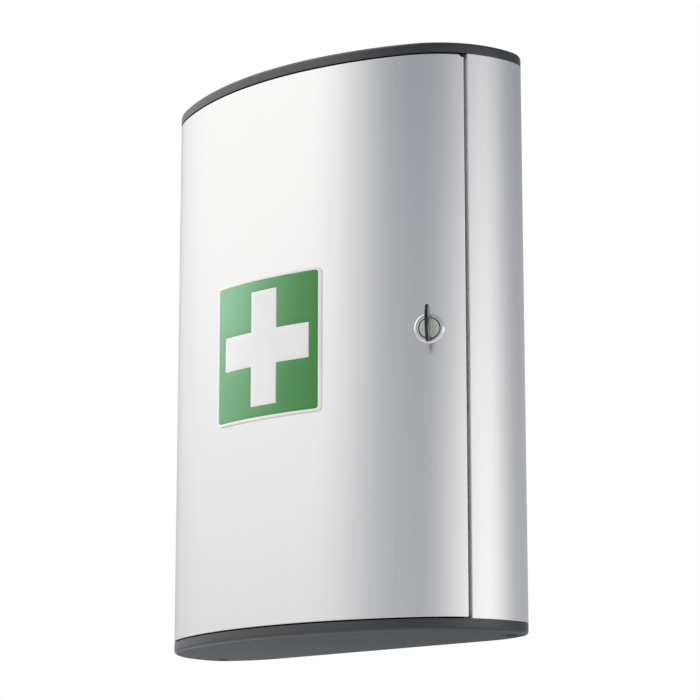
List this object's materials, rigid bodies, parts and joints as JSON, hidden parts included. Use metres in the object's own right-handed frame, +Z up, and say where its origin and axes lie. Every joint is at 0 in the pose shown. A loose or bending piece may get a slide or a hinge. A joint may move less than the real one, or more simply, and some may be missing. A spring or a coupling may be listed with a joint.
{
  "type": "lockable medicine cabinet",
  "caption": "Lockable wall-hung medicine cabinet: curved hinged door with a cam lock and its key, dark plastic caps, lipped shelves, and a green sign with a white cross.",
  "frame": {"origin": "centre of the wall holes, on the wall's surface, half way up the cabinet", "axes": "+Z up, +Y into the wall, +X towards the end that carries the lock, so the door faces -Y"},
  "size_m": [0.302, 0.1195, 0.4],
  "materials": {
    "anthracite_plastic": "fine-grained dark grey moulding with a soft sheen",
    "satin_aluminium": "satin anodised, with a fine vertical grain",
    "grey_sheet": "light grey powder coat",
    "white_sheet": "white powder coat",
    "white_plastic": "smooth white moulding",
    "sign_white": "glossy white moulding",
    "sign_green": "glossy green inlay",
    "black_rubber": "matt black",
    "rivet_aluminium": "plain pressed aluminium",
    "zinc_steel": "bright zinc plated",
    "chromed_zinc": "satin chrome over a die casting",
    "lock_nickel": "turned and nickel plated",
    "brass": "stamped brass",
    "dark_nickel": "dark nickel plated"
  },
  "bodies": {
    "cabinet": {"top_cap": "anthracite_plastic", "bottom_cap": "anthracite_plastic", "left_side_profile": "satin_aluminium", "right_side_profile": "satin_aluminium", "back_panel": "grey_sheet", "wall_pads": "black_rubber", "floor_panel": "grey_sheet", "ceiling_panel": "grey_sheet", "lower_shelf": "white_sheet", "upper_shelf": "white_sheet", "shelf_clips": "white_plastic", "shelf_rivets": "rivet_aluminium", "pivot_bushes": "white_plastic", "strike_plate": "zinc_steel", "strike_rivets": "rivet_aluminium", "closing_buffers": "black_rubber", "cap_screws": "zinc_steel"},
    "door": {"door_panel": "satin_aluminium", "door_top_rib": "anthracite_plastic", "door_bottom_rib": "anthracite_plastic", "hinge_pins": "zinc_steel", "sign_plate": "sign_white", "sign_field": "sign_green", "lock_seat_ring": "anthracite_plastic", "lock_housing": "chromed_zinc", "lock_saddle": "anthracite_plastic", "lock_nut": "zinc_steel"},
    "plug": {"lock_plug": "lock_nickel", "lock_wafers": "brass", "stop_disc": "zinc_steel", "cam": "zinc_steel", "cam_screw": "zinc_steel"},
    "key": {"key": "dark_nickel"}
  },
  "joints": [
    {"name": "door_hinge", "type": "hinge", "parent": "cabinet", "child": "door", "pos_m": [-0.13395, -0.06798, 0], "axis": [0, 0, -1], "range_deg": [0, 105]},
    {"name": "lock_turn", "type": "hinge", "parent": "door", "child": "plug", "pos_m": [0.1227, -0.08504, 0], "axis": [0.606, -0.7955, 0], "range_deg": [0, 90]},
    {"name": "key_pull", "type": "slide", "parent": "plug", "child": "key", "axis": [0.606, -0.7955, 0], "range_m": [0, 0.016]}
  ]
}
